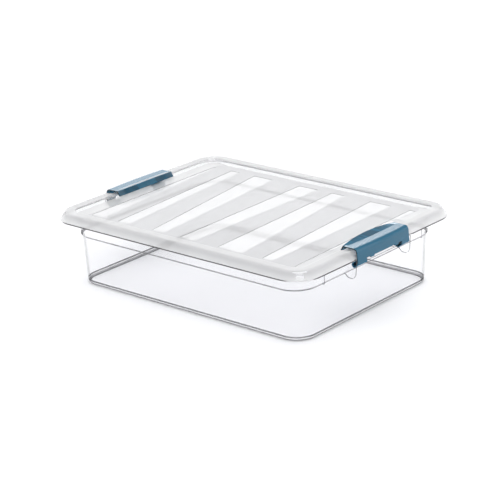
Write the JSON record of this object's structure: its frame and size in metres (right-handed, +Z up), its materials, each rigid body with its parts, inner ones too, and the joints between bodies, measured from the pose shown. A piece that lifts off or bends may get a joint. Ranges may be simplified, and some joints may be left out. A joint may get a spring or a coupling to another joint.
{
  "type": "under bed box",
  "caption": "Low clear storage box with a frosted lid that has a sunk panel of slanted stripes, held by a hinged clip at each end.",
  "frame": {"origin": "centre of the tub's base, on the surface it stands on", "axes": "+X along the box's length towards one clip, +Y across its width, +Z up out of the lid"},
  "size_m": [0.6054, 0.4484, 0.1468],
  "materials": {
    "tub_plastic": "clear glossy moulded polypropylene",
    "lid_plastic": "milky frosted moulded polypropylene with clearer polished stripes",
    "clip_plastic": "petrol blue satin-gloss moulded polypropylene"
  },
  "bodies": {
    "tub": {"tub": "tub_plastic"},
    "lid": {"lid": "lid_plastic"},
    "clip_right": {"clip_right": "clip_plastic"},
    "clip_left": {"clip_left": "clip_plastic"}
  },
  "joints": [
    {"name": "lid_lift", "type": "slide", "parent": "tub", "child": "lid", "axis": [0, 0, 1], "range_m": [0, 0.028]},
    {"name": "clip_right_hinge", "type": "hinge", "parent": "tub", "child": "clip_right", "pos_m": [0.292, 0, 0.1133], "axis": [0, 1, 0], "range_deg": [0, 170]},
    {"name": "clip_left_hinge", "type": "hinge", "parent": "tub", "child": "clip_left", "pos_m": [-0.292, 0, 0.1133], "axis": [0, -1, 0], "range_deg": [0, 170]}
  ],
  "couplings": [
    {"joint": "clip_right_hinge", "follows": "lid_lift", "rad_per_m": 105.9},
    {"joint": "clip_left_hinge", "follows": "lid_lift", "rad_per_m": 105.9}
  ]
}
